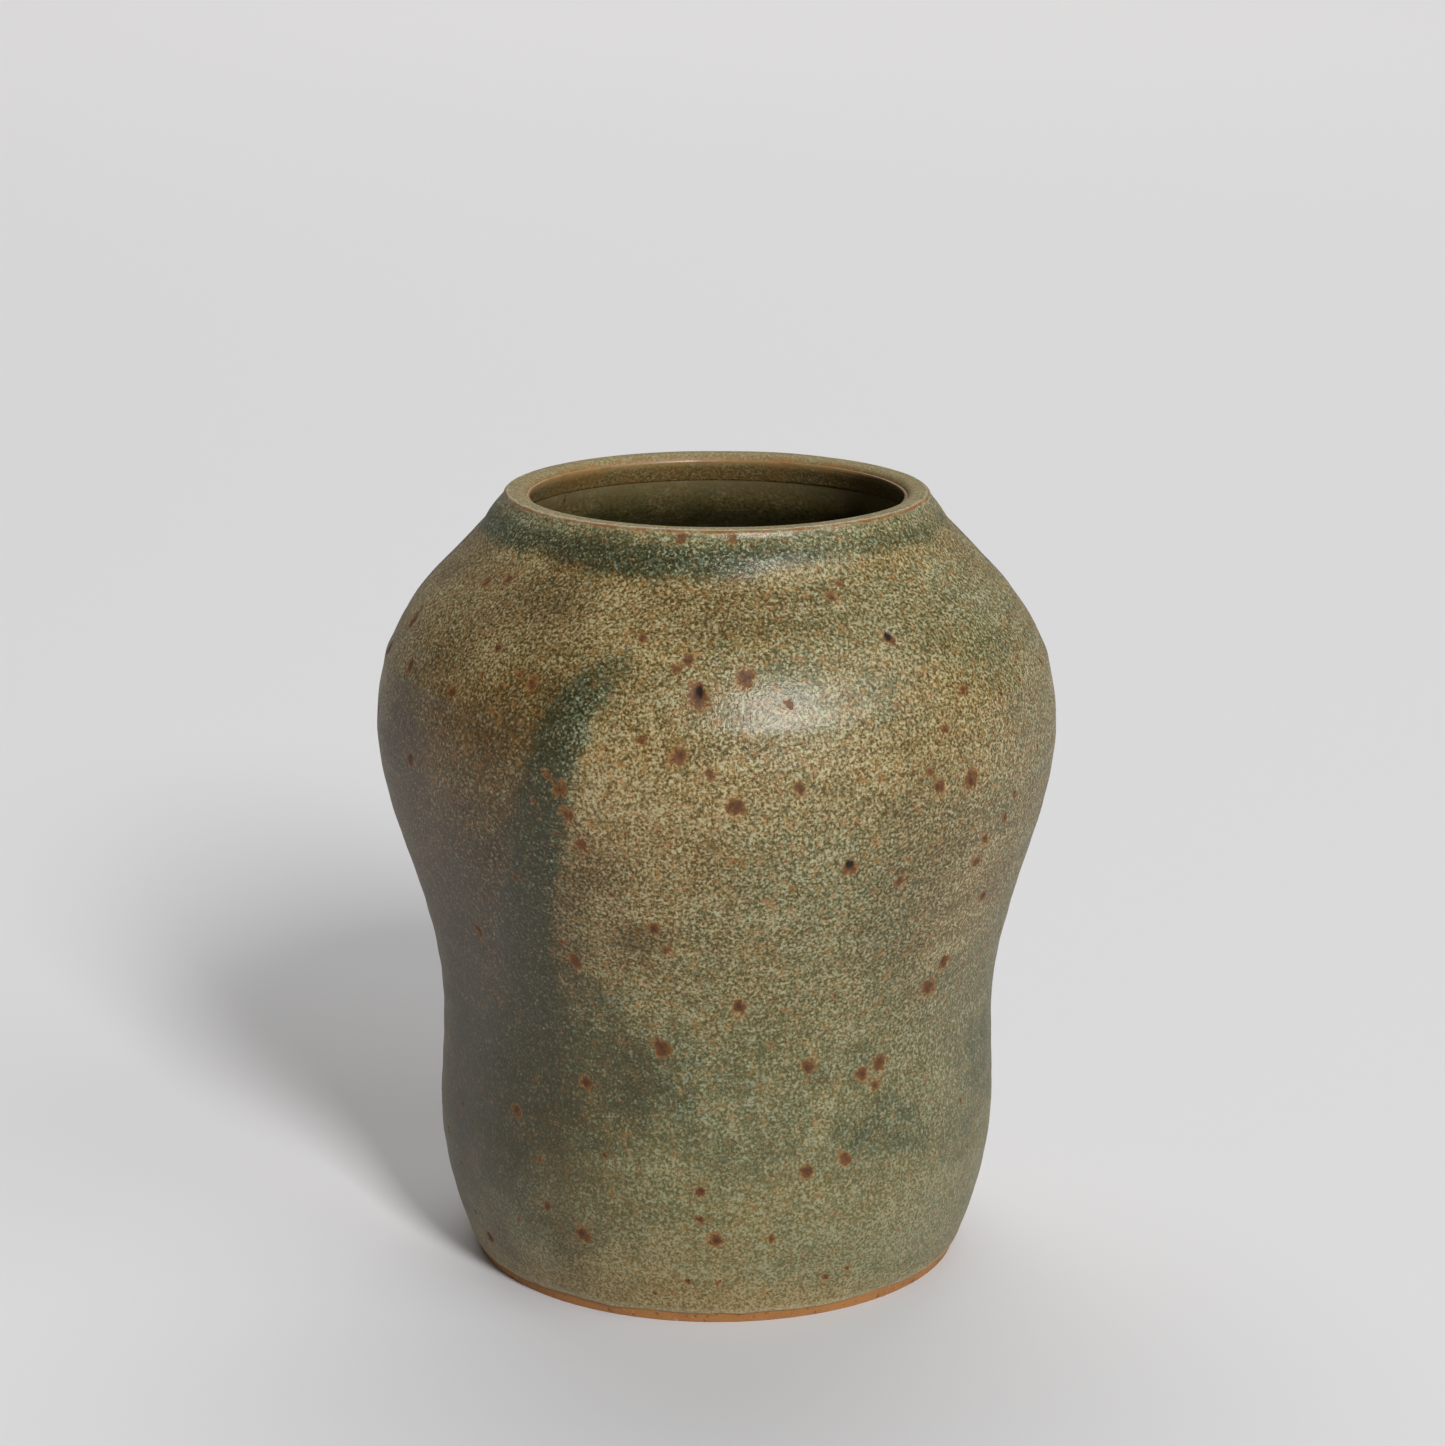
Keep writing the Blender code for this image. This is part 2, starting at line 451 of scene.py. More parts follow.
def wall_line(depth, low, high, count):
    """Upward row of evenly spaced points under the outside, from low to high in metres."""
    fine = fine_heights(1600)
    line = inset(fine, depth(fine * MM) if callable(depth) else depth)
    heights = line[:, 1]
    kept = line[(heights > low) & (heights < high)]
    ends = [(np.interp(h, heights, line[:, 0]), h) for h in (low, high)]
    line = np.vstack([ends[0], kept, ends[1]])
    travelled = np.concatenate([[0], np.cumsum(np.hypot(*np.diff(line, axis=0).T))])
    even = np.linspace(0, travelled[-1], count)
    return np.stack([np.interp(even, travelled, axis) for axis in line.T], -1)


def arc(centre, radius, start, end, steps):
    """Points on an arc in the outline's plane, angles in degrees from outwards."""
    turn = np.radians(np.linspace(start, end, steps + 1))
    return np.stack([centre[0] + radius * np.cos(turn), centre[1] + radius * np.sin(turn)], -1)


def straight(start, end, steps):
    """Points from start to end, without the start."""
    share = np.linspace(0, 1, steps + 1)[1:, None]
    return np.array(start) * (1 - share) + np.array(end) * share


def inner_depth(form):
    """Function of height: how deep the glazed inside lies, thinner towards the lip."""

    def depth(z):
        rise = np.clip((z - (HEIGHT - WALL_THINS_OVER)) / WALL_THINS_OVER, 0, 1)
        return form.wall + (form.lip_width - form.wall) * rise

    return depth


def hem_feather(z):
    """How far the hem stands out of the liner's face at a height; below zero it lies under it."""
    return HEM_FEATHER * np.clip((z - HEIGHT) / MM + HEM_SINKS / MM, -1, 1)


def coat_outline(form):
    """Closed outline of the outer coat: outside, lip, hem in the mouth, hidden back, foot edge."""
    edge = form.outer_coat
    low = GLAZE_LINE + 0.5 * edge
    top = HEIGHT - form.lip_round
    inside = inner_depth(form)
    outside = wall_line(0.0, low, top, 212)
    lip_outer = arc((outside[-1][0] - form.lip_round, top), form.lip_round, 0, 90, 7)[1:]
    hem_top = HEIGHT - 1.5 * MOUTH_ROUND
    hem = wall_line(lambda z: inside(z) + hem_feather(z), HEIGHT - HEM_REACH, hem_top, 9)[::-1]
    centre = (hem[0][0] + MOUTH_ROUND * math.cos(math.radians(30)), HEIGHT - MOUTH_ROUND)
    lip_inner = arc(centre, MOUTH_ROUND, 90, 210, 9)
    lip_flat = straight(lip_outer[-1], lip_inner[0], 5)
    tuck = [(hem[-1][0] + 0.10 * MM, hem[-1][1] - 0.05 * MM)]
    under_low = HEIGHT - HEM_REACH + 0.1 * MM
    under = wall_line(lambda z: inside(z) - 0.35 * MM, under_low, HEIGHT - COAT_BACK, 3)
    back = wall_line(edge, low, HEIGHT - COAT_BACK, 26)[::-1]
    bottom = arc((outside[0][0] - 0.5 * edge, low), 0.5 * edge, 180, 360, 6)[1:-1]
    front = [outside, lip_outer, lip_flat, lip_inner[1:], hem[1:]]
    return np.vstack(front + [tuck, under, back, bottom])


def inside_line(form, back_off, top, rows):
    """From the axis across the floor, round the corner and up the wall to top."""
    floor = form.floor - back_off
    corner = form.floor_corner + back_off
    rise = floor + corner
    depth = inner_depth(form)
    wall = wall_line(lambda z: depth(z) - back_off, rise, top, rows)
    turn = arc((wall[0][0] - corner, rise), corner, -90, 0, max(4, rows // 9))[:-1]
    flat = straight((0.0, floor), turn[0], max(3, rows // 5))[:-1]
    return np.vstack([[(0.0, floor)], flat, turn, wall])


def liner_outline(form):
    """Outline of the liner from the axis up its back, over the top and down the glazed face."""
    top = HEIGHT - LINER_TOP
    face = inside_line(form, 0.0, top, 120)
    back = inside_line(form, form.liner_coat, top, 22)
    return np.vstack([back, face[::-1]])


def body_outline(form):
    """Outline of the clay from the axis inside, over the lip, down the outside and under."""
    coat = form.outer_coat + CLAY_GAP
    top = HEIGHT - coat
    band_top = GLAZE_LINE + BAND_OVERLAP
    inside = inside_line(form, form.liner_coat + CLAY_GAP, top, 30)
    outside = wall_line(coat, band_top, top, 34)[::-1]
    ledge = outside_mm(GLAZE_LINE / MM) * MM - BAND_SETBACK
    foot = outside_mm(0.0) * MM - BAND_SETBACK
    band = straight(outside[-1], (ledge, band_top), 1)
    side = straight(band[-1], (foot, WORN_EDGE), 6)
    edge = arc((foot - WORN_EDGE, WORN_EDGE), WORN_EDGE, 0, -90, 4)[1:]
    ring = straight(edge[-1], (RECESS_RADIUS, 0.0), 10)
    slope = straight(ring[-1], (RECESS_RADIUS - RECESS_SLOPE, RECESS_DEPTH), 4)
    base = straight(slope[-1], (0.0, RECESS_DEPTH), 22)
    return np.vstack([inside, outside, band, side, edge, ring, slope, base])


# ---------------------------------------------------------------- modelling


def deselect_all():
    """Leave edit mode with nothing selected."""
    if bpy.context.object and bpy.context.object.mode != "OBJECT":
        bpy.ops.object.mode_set(mode="OBJECT")
    bpy.ops.object.select_all(action="DESELECT")


def throw(name, outline, turns, closed):
    """Draw an outline by extruding one vertex along it, then spin it round Z into a pot wall."""
    deselect_all()
    bpy.ops.mesh.primitive_plane_add(size=MM)
    piece = bpy.context.object
    piece.name = name
    piece.data.name = name
    bpy.ops.object.mode_set(mode="EDIT")
    bpy.ops.mesh.select_all(action="SELECT")
    bpy.ops.mesh.merge(type="CENTER")
    bpy.ops.transform.translate(value=(outline[0][0], 0.0, outline[0][1]))
    steps = list(np.diff(outline, axis=0))
    if closed:
        steps.append(outline[0] - outline[-1])
    for across, up in steps:
        bpy.ops.mesh.extrude_region_move(TRANSFORM_OT_translate={"value": (across, 0.0, up)})
    bpy.ops.mesh.select_all(action="SELECT")
    bpy.ops.mesh.spin(steps=turns, angle=math.tau, center=(0, 0, 0), axis=(0, 0, 1))
    bpy.ops.mesh.select_all(action="SELECT")
    bpy.ops.mesh.remove_doubles(threshold=0.02 * MM)
    bpy.ops.mesh.normals_make_consistent(inside=False)
    bpy.ops.object.mode_set(mode="OBJECT")
    return piece


def push(piece, weights, distance, direction="NORMAL"):
    """Move the surface by distance times a weight from 0 to 1 at each vertex."""
    deselect_all()
    piece.select_set(True)
    bpy.context.view_layer.objects.active = piece
    group = piece.vertex_groups.new(name="push")
    levels = np.round(np.clip(weights, 0, 1) * PUSH_LEVELS).astype(int)
    order = np.argsort(levels, kind="stable")
    starts = np.searchsorted(levels[order], np.arange(PUSH_LEVELS + 2))
    for level in range(1, PUSH_LEVELS + 1):
        members = order[starts[level] : starts[level + 1]]
        if len(members):
            group.add(members.tolist(), level / PUSH_LEVELS, "REPLACE")
    displace = piece.modifiers.new("push", "DISPLACE")
    displace.direction = direction
    displace.space = "LOCAL"
    displace.mid_level = 0.0
    displace.strength = distance
    displace.vertex_group = group.name
    bpy.ops.object.modifier_apply(modifier=displace.name)
    piece.vertex_groups.remove(piece.vertex_groups["push"])


def paint(piece, name, values):
    """Store one number at each vertex for a material to read."""
    layer = piece.data.attributes.new(name, "FLOAT", "POINT")
    layer.data.foreach_set("value", np.asarray(values, np.float32))


def finish(piece, material, node):
    """Smooth shading, the material, and the piece's place in the frame."""
    deselect_all()
    piece.select_set(True)
    bpy.context.view_layer.objects.active = piece
    bpy.ops.object.shade_smooth()
    piece.data.materials.clear()
    piece.data.materials.append(material)
    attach(piece, "root")
    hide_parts(node)


def lean(piece, wall, form):
    """Shift the waist a little off centre, as the potter's hands left it."""
    push(piece, np.exp(-(((wall.height - 42) / 20) ** 2)), form.lean, "X")


class Wall:
    """Where each vertex of a piece lies on the pot, in millimetres and degrees."""

    def __init__(self, piece):
        points = np.empty(len(piece.data.vertices) * 3)
        piece.data.vertices.foreach_get("co", points)
        self.points = points.reshape(-1, 3) / MM
        x, y, self.height = self.points.T
        self.radius = np.hypot(x, y)
        self.bearing = np.degrees(np.arctan2(x, -y))
        fine = fine_heights(800)
        length = np.concatenate([[0], np.cumsum(np.hypot(np.diff(fine), np.diff(outside_mm(fine))))])
        self.ramp = (fine, length)
        self.climb = np.interp(self.height, fine, length)
        self.inwards = outside_mm(np.clip(self.height, 0, HEIGHT_MM)) - self.radius
        self.is_outside = self.inwards < OUTSIDE_WITHIN

    def turn_from(self, bearing):
        """Degrees round the pot from a bearing, the short way."""
        return (self.bearing - bearing + 180) % 360 - 180

    def climb_from(self, height):
        """Distance up the wall from a height."""
        return self.climb - np.interp(height, *self.ramp)

    def offsets(self, bearing, height):
        """(sideways, upwards) distance along the wall from a place on it."""
        return np.radians(self.turn_from(bearing)) * self.radius, self.climb_from(height)

    def grain(self, size, seed=0.0, stretch=1.0, octaves=2):
        """Smooth noise from about -1 to 1 with patches of a size in millimetres."""
        scale = 1.0 / size
        lift = Vector((seed, seed * 1.7, seed * 0.6))
        out = np.empty(len(self.points))
        for i, (x, y, z) in enumerate(self.points * (scale, scale, scale / stretch)):
            out[i] = noise.fractal(Vector((x, y, z)) + lift, 1.0, 2.0, octaves)
        return out


def patch(wall, ragged, bearing, height, half_width, half_height):
    """1 in the middle of a soft-edged oval patch and 0 outside; the half width is in degrees."""
    turn = wall.turn_from(bearing)
    away = np.hypot(turn / half_width, wall.climb_from(height) / half_height) + 0.30 * ragged
    return smooth(away, 1.25, 0.15)


def largest_patch(wall, ragged, patches):
    """The strongest of several patches at each vertex."""
    total = np.zeros(len(wall.height))
    for *place, strength in patches:
        total = np.maximum(total, patch(wall, ragged, *place) * strength)
    return total


def streak(wall, ragged, start, end):
    """1 along the middle of the stretch of a glaze run between two of its places, 0 away from it."""
    across, up = wall.offsets(start[0], start[1])
    sideways = np.radians(end[0] - start[0]) * wall.radius
    upwards = np.interp(end[1], *wall.ramp) - np.interp(start[1], *wall.ramp)
    share = np.clip((across * sideways + up * upwards) / (sideways**2 + upwards**2), 0, 1)
    away = np.hypot(across - share * sideways, up - share * upwards)
    width = start[2] + (end[2] - start[2]) * share
    strength = start[3] + (end[3] - start[3]) * share
    return smooth((away + 0.7 * ragged) / (0.5 * width), 1.5, 0.4) * strength


def run_weight(wall):
    """How thick the green glaze lies, 0 to 1: the collar, its runs and the pools below; the collar
    is thinned on the lit right side as painted light.
    """
    ragged = wall.grain(3.0, seed=4.0) * 0.7 + wall.grain(8.0, seed=9.0) * 0.9
    bearing = np.radians(wall.bearing)
    hem = 99.4 - 0.5 * np.cos(bearing * 2 + 0.6) - 0.4 * np.cos(bearing * 5 + 1.0) + 0.6 * ragged
    collar = smooth(wall.height, hem - 1.9, hem + 1.5) * smooth(wall.height, 103.9, 100.4)
    # Painted light: the collar's green is thinned on the right, where the lights fall, so it reads
    # lighter there
    painted_light_side = smooth(wall.bearing, 0, 44) * smooth(wall.bearing, 130, 90)
    total = collar * wall.is_outside * (0.92 + 0.08 * np.cos(bearing + 0.6) - 0.45 * painted_light_side)
    for run in GLAZE_RUNS:
        for start, end in zip(run, run[1:]):
            total = np.maximum(total, streak(wall, ragged, start, end))
    return np.clip(np.maximum(total, largest_patch(wall, ragged, GLAZE_POOLS)), 0, 1)


def dark_grain_and_painted_shade_weight(wall):
    """How much the glaze darkens, 0 to 1: crowding dark grains, and painted shade on the left side.
    """
    ragged = wall.grain(7.0, seed=24.0) + wall.grain(16.0, seed=29.0)
    return largest_patch(wall, ragged, DARK_GRAIN_AND_PAINTED_SHADE_PATCHES)


def tint_weights(wall):
    """(sage, warmth), each 0 to 1: where the tan glaze turned green-grey or toasted brown."""
    ragged = wall.grain(6.0, seed=14.0) + wall.grain(15.0, seed=19.0)
    tint = smooth(wall.height, 58, 36) * smooth(wall.height, 2, 9) * 0.8 + 0.10 * ragged
    tint = tint + 0.8 * smooth(wall.height, 99.5, 101.0) * wall.is_outside
    for *place, strength in GLAZE_TINTS:
        tint = tint + patch(wall, ragged, *place) * strength
    return np.clip(tint, 0, 1), np.clip(-tint, 0, 1)


def spot_weights(wall, spots):
    """(iron, pit) nearness at each vertex, 1 in the middle of a spot and 0 out of its reach."""
    dice = random.Random(7)
    iron = np.zeros(len(wall.height))
    pit = np.zeros(len(wall.height))
    for bearing, height, width, has_pit in spots:
        across, up = wall.offsets(bearing, height)
        tilt = dice.uniform(-0.8, 0.8)
        squeeze = dice.uniform(0.70, 0.95)
        long_way = up * math.cos(tilt) + across * math.sin(tilt)
        short_way = (across * math.cos(tilt) - up * math.sin(tilt)) / squeeze
        reach = 0.72 * width
        iron = np.maximum(iron, 1 - np.hypot(long_way, short_way) / reach)
        if has_pit:
            across, up = wall.offsets(bearing, height + 0.16 * width)
            pit = np.maximum(pit, 1 - np.hypot(across * 1.2, up * 0.8) / 1.1)
    return iron * wall.is_outside, pit * wall.is_outside


def scattered_spots():
    """Iron spots on the back, as thick on the wall as those at the front, and specks all round."""
    dice = random.Random(41)
    spots = []
    while len(spots) < BACK_SPOTS:
        bearing = dice.uniform(FRONT, 360 - FRONT)
        height = dice.uniform(4, 100)
        if dice.random() * 45 < outside_mm(height):
            width = 1.3 + 2.4 * dice.random() ** 2.4
            spots.append((bearing, height, width, width > 2.6 and dice.random() < 0.4))
    for _ in range(SPECKS):
        spots.append((dice.uniform(0, 360), dice.uniform(3, 102), dice.uniform(0.6, 1.15), False))
    return spots


# ---------------------------------------------------------------- shader expressions


class Value:
    """A number or colour inside a material; arithmetic on it adds Math nodes."""

    def __init__(self, board, socket):
        self.board = board
        self.socket = socket

    def __add__(self, other):
        return self.board.maths("ADD", self, other)

    def __radd__(self, other):
        return self.board.maths("ADD", other, self)

    def __sub__(self, other):
        return self.board.maths("SUBTRACT", self, other)

    def __rsub__(self, other):
        return self.board.maths("SUBTRACT", other, self)

    def __mul__(self, other):
        return self.board.maths("MULTIPLY", self, other)

    def __rmul__(self, other):
        return self.board.maths("MULTIPLY", other, self)


class Board:
    """One material's nodes, laid out by expressions."""

    def __init__(self, name):
        self.material = bpy.data.materials.new(name)
        self.material.use_nodes = True
        self.tree = self.material.node_tree
        self.shader = self.tree.nodes["Principled BSDF"]
        self.place = Value(self, self.tree.nodes.new("ShaderNodeTexCoord").outputs["Object"])

    def node(self, kind, settings=(), inputs=(), output=0):
        """Add a node: its settings first, then its sockets' values or links."""
        made = self.tree.nodes.new(kind)
        for key, value in dict(settings).items():
            setattr(made, key, value)
        for key, value in dict(inputs).items():
            self.feed(made.inputs[key], value)
        return Value(self, made.outputs[output])

    def feed(self, socket, value):
        """Link a value to a socket, or set the socket to a plain number or colour."""
        if isinstance(value, Value):
            self.tree.links.new(value.socket, socket)
        elif socket.type == "RGBA" and len(value) == 3:
            socket.default_value = (*value, 1.0)
        else:
            socket.default_value = value

    def maths(self, operation, a, b):
        return self.node("ShaderNodeMath", {"operation": operation}, {0: a, 1: b})

    def step(self, value, low, high, bottom=0.0, top=1.0):
        """Eased step of a value from bottom at low to top at high."""
        return self.node(
            "ShaderNodeMapRange",
            {"interpolation_type": "SMOOTHSTEP"},
            {"Value": value, "From Min": low, "From Max": high, "To Min": bottom, "To Max": top},
        )

    def stretched(self, across, up):
        """Object place with level and upward lengths scaled, for streaks and rings."""
        inputs = {0: self.place, 1: (across, across, up)}
        return self.node("ShaderNodeVectorMath", {"operation": "MULTIPLY"}, inputs)

    def grain(self, size, detail=2.0, roughness=0.5, place=None, shift=0.0):
        """Noise from 0 to 1 with patches of about a size in millimetres."""
        where = place or self.place
        if shift:
            step = (shift, shift * 0.7, 0.0)
            where = self.node("ShaderNodeVectorMath", {"operation": "ADD"}, {0: where, 1: step})
        scale = 1.0 / (size * MM)
        inputs = {"Vector": where, "Scale": scale, "Detail": detail, "Roughness": roughness}
        return self.node("ShaderNodeTexNoise", {"noise_dimensions": "3D"}, inputs)

    def patches(self, size, low, high, **grain):
        """0 to 1 in scattered patches, where the grain of a size rises from low to high."""
        return self.step(self.grain(size, **grain), low, high)

    def attribute(self, name):
        return self.node("ShaderNodeAttribute", {"attribute_name": name}, output=2)

    def mix(self, first, second, share):
        """Colour that goes from first to second as share goes from 0 to 1."""
        settings = {"data_type": "RGBA", "clamp_factor": True}
        return self.node("ShaderNodeMix", settings, {0: share, 6: first, 7: second}, output=2)

    def finish(self, base, roughness, height=None, bump=0.0, reach=0.1 * MM, **uniform):
        """Feed the shader: colour, roughness and relief vary, and the rest is uniform."""
        self.feed(self.shader.inputs["Base Color"], base)
        self.feed(self.shader.inputs["Roughness"], roughness)
        if height is not None:
            inputs = {"Strength": bump, "Distance": reach, "Height": height}
            self.feed(self.shader.inputs["Normal"], self.node("ShaderNodeBump", (), inputs))
        for name, value in uniform.items():
            self.shader.inputs[name.replace("_", " ")].default_value = value
        return self.material


def outer_glaze_material(tint):
    """Satin glaze: tan crystals over umber, green where thick, rust where it breaks on iron."""
    board = Board("speckled_outer_glaze")
    run = board.attribute("run")
    sage = board.attribute("sage")
    warmth = board.attribute("warmth")
    dark = board.attribute("dark")
    iron = board.attribute("iron")
    pit = board.attribute("pit")
    past_lip = board.attribute("past_lip")
    above_foot = board.attribute("above_foot")

    fine = board.grain(0.39, detail=3.0, roughness=0.6)
    finer = board.grain(0.23, detail=2.0, roughness=0.6, shift=0.31)
    crystal = fine * 0.70 + finer * 0.30
    mottle = board.grain(2.6, detail=4.0, roughness=0.6, shift=0.17)
    rings = board.grain(1.0, detail=3.0, place=board.stretched(0.08, 0.50))
    broad = board.grain(13.0, detail=3.0, shift=0.53)

    # Three families of grains, each dark, middling and light
    greenness = board.step(sage + (mottle - 0.5) * 1.0 + (fine - 0.5) * 0.6, 0.0, 1.0)
    thick = board.step(run + (mottle - 0.5) * 0.8 + (fine - 0.5) * 0.9, 0.12, 0.92)
    deep = board.mix(board.mix(tint.umber, tint.moss, greenness), tint.deep_green, thick)
    middle = board.mix(board.mix(tint.tan, tint.olive, greenness), tint.green, thick)
    light = board.mix(board.mix(tint.cream, tint.celadon, greenness), tint.slate, thick)
    # Painted shade: where the dark weight is high, dark and middling grains go towards the shade
    # colour
    deep = board.mix(deep, tint.shade, dark * 0.8)
    middle = board.mix(middle, tint.shade, dark * 0.5)

    # Fewer light crystals where the dark weight is high (crowding grains and painted shade) and
    # where the glaze is thick, more at the foot
    crowding_and_painted_shade = dark + (mottle - 0.5) * 0.5
    at_foot = board.step(above_foot, 22.0, 8.0, top=0.024)
    level = crystal + at_foot - crowding_and_painted_shade * 0.062 - thick * 0.022
    level = level + (rings - 0.5) * 0.10 + (broad - 0.5) * 0.06
    base = board.mix(deep, middle, board.step(level, 0.41, 0.49))
    base = board.mix(base, light, board.step(level, 0.50, 0.59))

    # Toasted, mossy and blue-grey grains
    toasted = board.patches(1.05, 0.56, 0.65, detail=3.0, roughness=0.6, shift=0.91)
    base = board.mix(base, tint.toast, toasted * (0.44 + 0.4 * warmth) * (1.0 - thick * 0.8))
    base = board.mix(base, tint.toast, warmth * (1.0 - thick) * 0.30)
    fleck = board.patches(1.6, 0.64, 0.70, detail=3.0, shift=3.3)
    base = board.mix(base, tint.toast, fleck * 0.5 * (1.0 - thick * 0.6))
    mossy = board.patches(0.95, 0.54, 0.64, detail=3.0, roughness=0.6, shift=0.77)
    base = board.mix(base, tint.green, mossy * (0.42 + 0.25 * greenness) * (1.0 - warmth))
    blue = board.patches(0.8, 0.57, 0.66, detail=3.0, shift=1.3)
    # Fewer blue-grey grains where painted shade darkens the glaze
    base = board.mix(base, tint.blue, blue * (0.14 + 0.36 * thick) * (1.0 - dark * 0.7))
    # Painted shade over the left side: darken towards the shade colour, keeping a few pale crystals
    # in it
    base = board.mix(base, tint.shade, dark * (0.46 - 0.30 * thick))
    base = board.mix(base, tint.celadon, board.step(crystal, 0.54, 0.63) * dark * 0.26)
    base = board.mix(base, tint.green, thick * dark * 0.25)
    base = board.mix(base, middle, board.step(above_foot, 66.0, 8.0, bottom=0.06, top=0.42))

    # Iron spots: a toasted halo, a rusty stain, a dark heart and a black pit
    coarse = board.grain(0.8, detail=4.0, roughness=0.75, shift=0.4)
    ragged = (coarse - 0.5) * 1.9 + (fine - 0.5) * 0.6
    halo = board.step(iron + ragged, 0.14, 0.46)
    stain = board.step(iron + ragged * 0.9, 0.36, 0.50)
    heart = board.step(iron + ragged, 0.55, 0.90)
    base = board.mix(base, tint.toast, halo * 0.62)
    rusty = board.mix(tint.rust, tint.toast, board.step(crystal, 0.50, 0.62, top=0.30))
    base = board.mix(base, rusty, stain * 0.92)
    base = board.mix(base, tint.iron, heart * 0.7)
    base = board.mix(base, PIT_BLACK, board.step(pit, 0.35, 0.60))

    # The lip: bare-looking flat; cream and rust lines where it turns down, the cream partly a
    # painted highlight along the rounded edge; toasted mouth edge
    waver = board.grain(2.0, detail=4.0, shift=2.1)
    wander = past_lip + (waver - 0.5) * 1.0 + (fine - 0.5) * 0.5
    lip_top = board.step(wander, 0.1, -0.4) * board.step(past_lip, -5.4, -3.8)
    base = board.mix(base, tint.lip, lip_top * 0.60)
    cream_and_painted_highlight_line = board.step(wander, -0.25, 0.05) * board.step(wander, 1.25, 0.80)
    base = board.mix(base, tint.cream, cream_and_painted_highlight_line * 0.30)
    broken = board.patches(2.6, 0.40, 0.56, detail=4.0, shift=1.9)
    rust_line = board.step(wander, 0.05, 0.30) * board.step(wander, 1.0, 0.60)
    base = board.mix(base, tint.rust_line, rust_line * (0.40 + 0.55 * broken))
    mouth_edge = board.step(wander, -1.9, -2.9)
    blotch = board.patches(3.4, 0.48, 0.62, detail=4.0, shift=2.9)
    base = board.mix(base, tint.toast, mouth_edge * (0.15 + 0.40 * blotch))
    base = board.mix(base, tint.tan, board.step(past_lip, -2.8, -4.0, top=0.35))
    inner_green = board.step(past_lip + (mottle - 0.5) * 4.0, -3.2, -5.5, top=0.16)
    base = board.mix(base, tint.green, inner_green)
    # Paler glaze where it rolls above the foot, with a painted highlight along that edge
    base = board.mix(base, tint.cream, board.step(above_foot, 2.7, 1.7) * 0.30)

    # Duller on stains, in pits, on the lip and towards the edges of the pot
    facing = board.node("ShaderNodeLayerWeight", (), {"Blend": 0.5}, output=1)
    roughness = board.step(crystal, 0.35, 0.65, bottom=0.24, top=0.33) + stain * 0.25
    roughness = roughness + board.step(pit, 0.2, 0.5, top=0.35)
    roughness = roughness + board.step(facing, 0.35, 0.80, top=0.24) + lip_top * 0.32
    pebble = board.grain(1.0, detail=2.0, shift=0.2)
    relief = (crystal + pebble * 0.6) * (1.0 - lip_top * 0.7)
    relief = relief - stain * 0.5 - board.step(pit, 0.2, 0.7) * 2.0
    return board.finish(
        base, roughness, relief, bump=0.9, reach=0.11 * MM, IOR=1.46, Specular_IOR_Level=0.45
    )


def liner_glaze_material(tint):
    """Brownish olive liner, toasted just inside the mouth, with painted light near the mouth and
    painted shade deeper inside.
    """
    board = Board("liner_glaze")
    depth = board.attribute("depth")
    fine = board.grain(0.45, detail=2.5, roughness=0.6)
    coarse = board.grain(2.2, detail=3.0, shift=0.3)
    crystal = fine * 0.7 + coarse * 0.3
    base = board.mix(tint.umber, tint.tan, board.step(crystal, 0.36, 0.50))
    base = board.mix(base, tint.cream, board.step(crystal, 0.50, 0.66, top=0.7))
    base = board.mix(base, tint.green, board.step(board.grain(6.0, detail=3.0), 0.40, 0.62, top=0.5))
    # Painted light near the mouth and painted shade deeper in: cream, tan and celadon towards the
    # lip, deep green further down
    base = board.mix(base, tint.cream, board.step(depth, 7.0, 2.0, top=0.40))
    base = board.mix(base, tint.deep_green, board.step(depth, 3.0, 12.0, top=0.85))
    base = board.mix(base, tint.tan, board.step(depth + (coarse - 0.5) * 6.0, 9.0, 2.5, top=0.80))
    base = board.mix(base, tint.celadon, board.step(depth, 8.0, 2.5, top=0.16))
    freckle = board.patches(1.7, 0.68, 0.73, detail=3.0, shift=0.8)
    base = board.mix(base, tint.rust, freckle * 0.8)
    mouth_edge = board.step(depth + (coarse - 0.5) * 3.0, 5.0, 1.0)
    base = board.mix(base, tint.toast, mouth_edge * 0.5)
    base = board.mix(base, tint.rust_line, mouth_edge * board.step(coarse, 0.52, 0.62) * 0.5)
    roughness = board.step(crystal, 0.3, 0.7, bottom=0.32, top=0.44)
    relief = fine * 0.5 + board.grain(1.0, detail=2.0, shift=0.2) * 0.6
    return board.finish(base, roughness, relief, bump=0.4, reach=0.08 * MM)


def clay_material(tint):
    """Bare stoneware: toasted orange at the glaze edge, paler and grooved underneath."""
    board = Board("bare_clay")
    under = board.attribute("under")
    fine = board.grain(0.30, detail=3.0, roughness=0.7)
    cloud = board.grain(5.0, detail=3.0, shift=0.2)
    scorch = board.step(fine * 0.5 + cloud * 0.5, 0.46, 0.72, top=0.45)
    base = board.mix(board.mix(tint.clay, tint.rust, scorch), tint.pale_clay, under * 0.75)
    grog = board.patches(0.7, 0.66, 0.72, detail=1.0, shift=0.6)
    base = board.mix(base, tint.iron, grog * 0.6)
    sand = board.step(board.grain(0.5, detail=1.0, shift=1.6), 0.70, 0.75, top=0.5)
    base = board.mix(base, tint.cream, sand)
    roughness = board.step(fine, 0.3, 0.7, bottom=0.72, top=0.88)
    return board.finish(base, roughness, fine + cloud * 0.5, bump=0.5, reach=0.1 * MM)


# ---------------------------------------------------------------- operators


